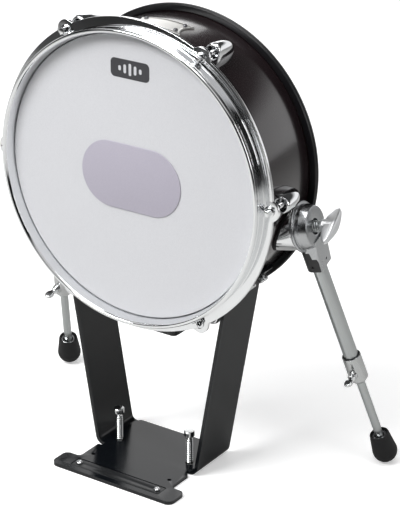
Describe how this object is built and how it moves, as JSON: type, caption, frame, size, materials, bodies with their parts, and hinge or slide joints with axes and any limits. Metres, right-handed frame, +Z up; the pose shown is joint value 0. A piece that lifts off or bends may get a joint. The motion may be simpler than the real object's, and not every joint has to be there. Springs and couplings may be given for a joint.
{
  "type": "bass drum",
  "caption": "Electronic bass drum pad: mesh head under a chrome hoop on a shallow black shell, held by a bent sheet stand and two folding spurs.",
  "frame": {"origin": "on the floor at the middle of the stand's foot plate, straight below the plane of the tension rod heads", "axes": "+Z up, -Y towards the player and out of the mesh head, +Y out of the closed back, +X to the right seen from the player; the drum's axis is parallel to Y at 340 mm height"},
  "size_m": [0.4652, 0.2286, 0.51],
  "materials": {
    "satin_black": "satin black-brown lacquer over a plywood shell",
    "black_plastic": "fine-grained black moulding",
    "chrome": "bright plated",
    "satin_chrome": "satin plated tube and wire",
    "aluminium": "plain milled",
    "brass": "bare disc",
    "mesh_fabric": "fine woven mesh",
    "patch_fabric": "dense woven patch",
    "rubber": "matte black",
    "foam": "dark open-cell foam",
    "powder_black": "black powder coat",
    "badge_steel": "brushed plate, blank"
  },
  "bodies": {
    "drum": {"badge_plate": "badge_steel", "batter_hoop": "chrome", "frame_bolt_left_front": "chrome", "frame_bolt_left_rear": "chrome", "frame_bolt_right_front": "chrome", "frame_bolt_right_rear": "chrome", "head_flesh_hoop": "aluminium", "impact_patch": "patch_fabric", "jack_box": "black_plastic", "lug_1": "chrome", "lug_2": "chrome", "lug_3": "chrome", "lug_4": "chrome", "lug_5": "chrome", "lug_6": "chrome", "mesh_head": "mesh_fabric", "output_jack": "chrome", "pedal_plate": "powder_black", "pedal_plate_screw_left": "chrome", "pedal_plate_screw_right": "chrome", "piezo_disc": "brass", "rear_hoop": "black_plastic", "rear_panel": "black_plastic", "sensor_bracket": "aluminium", "sensor_cable": "rubber", "sensor_cushion": "foam", "sensor_plate": "aluminium", "shell": "satin_black", "spur_boss_left": "chrome", "spur_boss_right": "chrome", "spur_gasket_left": "rubber", "spur_gasket_right": "rubber", "stand_frame": "powder_black", "wing_spring_left": "satin_chrome", "wing_spring_right": "satin_chrome"},
    "spur_right": {"spur_clamp_right": "chrome", "spur_bush_right": "black_plastic", "spur_tube_right": "satin_chrome", "spur_collar_right": "chrome"},
    "leg_right": {"spur_rod_right": "satin_chrome"},
    "foot_right": {"rubber_foot_right": "rubber"},
    "wing_right": {"wing_bolt_right": "chrome"},
    "thumb_right": {"thumb_screw_right": "chrome"},
    "spur_left": {"spur_clamp_left": "chrome", "spur_bush_left": "black_plastic", "spur_tube_left": "satin_chrome", "spur_collar_left": "chrome"},
    "leg_left": {"spur_rod_left": "satin_chrome"},
    "foot_left": {"rubber_foot_left": "rubber"},
    "wing_left": {"wing_bolt_left": "chrome"},
    "thumb_left": {"thumb_screw_left": "chrome"},
    "rod_1": {"tension_rod_1": "chrome"},
    "rod_2": {"tension_rod_2": "chrome"},
    "rod_3": {"tension_rod_3": "chrome"},
    "rod_4": {"tension_rod_4": "chrome"},
    "rod_5": {"tension_rod_5": "chrome"},
    "rod_6": {"tension_rod_6": "chrome"},
    "anchor_right": {"anchor_bolt_right": "satin_chrome"},
    "anchor_left": {"anchor_bolt_left": "satin_chrome"}
  },
  "joints": [
    {"name": "spur_fold_right", "type": "hinge", "parent": "drum", "child": "spur_right", "pos_m": [0.164, 0.0743, 0.29895], "axis": [0.9721, 0.0902, 0.2166], "range_deg": [-20, 50]},
    {"name": "leg_slide_right", "type": "slide", "parent": "spur_right", "child": "leg_right", "axis": [0.1802, 0.304, -0.9355], "range_m": [-0.06, 0.05]},
    {"name": "foot_turn_right", "type": "hinge", "parent": "leg_right", "child": "foot_right", "pos_m": [0.21465, 0.15972, 0.03608], "axis": [-0.1802, -0.304, 0.9355], "continuous": true},
    {"name": "wing_bolt_turn_right", "type": "hinge", "parent": "drum", "child": "wing_right", "pos_m": [0.164, 0.0743, 0.29895], "axis": [0.9721, 0.0902, 0.2166], "continuous": true},
    {"name": "thumb_screw_turn_right", "type": "hinge", "parent": "spur_right", "child": "thumb_right", "pos_m": [0.19824, 0.13206, 0.12121], "axis": [0.1502, -0.9484, -0.2793], "continuous": true},
    {"name": "spur_fold_left", "type": "hinge", "parent": "drum", "child": "spur_left", "pos_m": [-0.164, 0.0743, 0.29895], "axis": [0.9721, -0.0902, -0.2166], "range_deg": [-20, 50]},
    {"name": "leg_slide_left", "type": "slide", "parent": "spur_left", "child": "leg_left", "axis": [-0.1802, 0.304, -0.9355], "range_m": [-0.06, 0.05]},
    {"name": "foot_turn_left", "type": "hinge", "parent": "leg_left", "child": "foot_left", "pos_m": [-0.21465, 0.15972, 0.03608], "axis": [0.1802, -0.304, 0.9355], "continuous": true},
    {"name": "wing_bolt_turn_left", "type": "hinge", "parent": "drum", "child": "wing_left", "pos_m": [-0.164, 0.0743, 0.29895], "axis": [-0.9721, 0.0902, 0.2166], "continuous": true},
    {"name": "thumb_screw_turn_left", "type": "hinge", "parent": "spur_left", "child": "thumb_left", "pos_m": [-0.19824, 0.13206, 0.12121], "axis": [-0.1502, -0.9484, -0.2793], "continuous": true},
    {"name": "tension_rod_turn_1", "type": "hinge", "parent": "drum", "child": "rod_1", "pos_m": [0.166, 0, 0.34], "axis": [0, -1, 0], "continuous": true},
    {"name": "tension_rod_turn_2", "type": "hinge", "parent": "drum", "child": "rod_2", "pos_m": [0.083, 0, 0.48376], "axis": [0, -1, 0], "continuous": true},
    {"name": "tension_rod_turn_3", "type": "hinge", "parent": "drum", "child": "rod_3", "pos_m": [-0.083, 0, 0.48376], "axis": [0, -1, 0], "continuous": true},
    {"name": "tension_rod_turn_4", "type": "hinge", "parent": "drum", "child": "rod_4", "pos_m": [-0.166, 0, 0.34], "axis": [0, -1, 0], "continuous": true},
    {"name": "tension_rod_turn_5", "type": "hinge", "parent": "drum", "child": "rod_5", "pos_m": [-0.083, 0, 0.19624], "axis": [0, -1, 0], "continuous": true},
    {"name": "tension_rod_turn_6", "type": "hinge", "parent": "drum", "child": "rod_6", "pos_m": [0.083, 0, 0.19624], "axis": [0, -1, 0], "continuous": true},
    {"name": "anchor_travel_right", "type": "slide", "parent": "drum", "child": "anchor_right", "axis": [0, 0, -1], "range_m": [-0.012, 0.01]},
    {"name": "anchor_travel_left", "type": "slide", "parent": "drum", "child": "anchor_left", "axis": [0, 0, -1], "range_m": [-0.012, 0.01]}
  ]
}
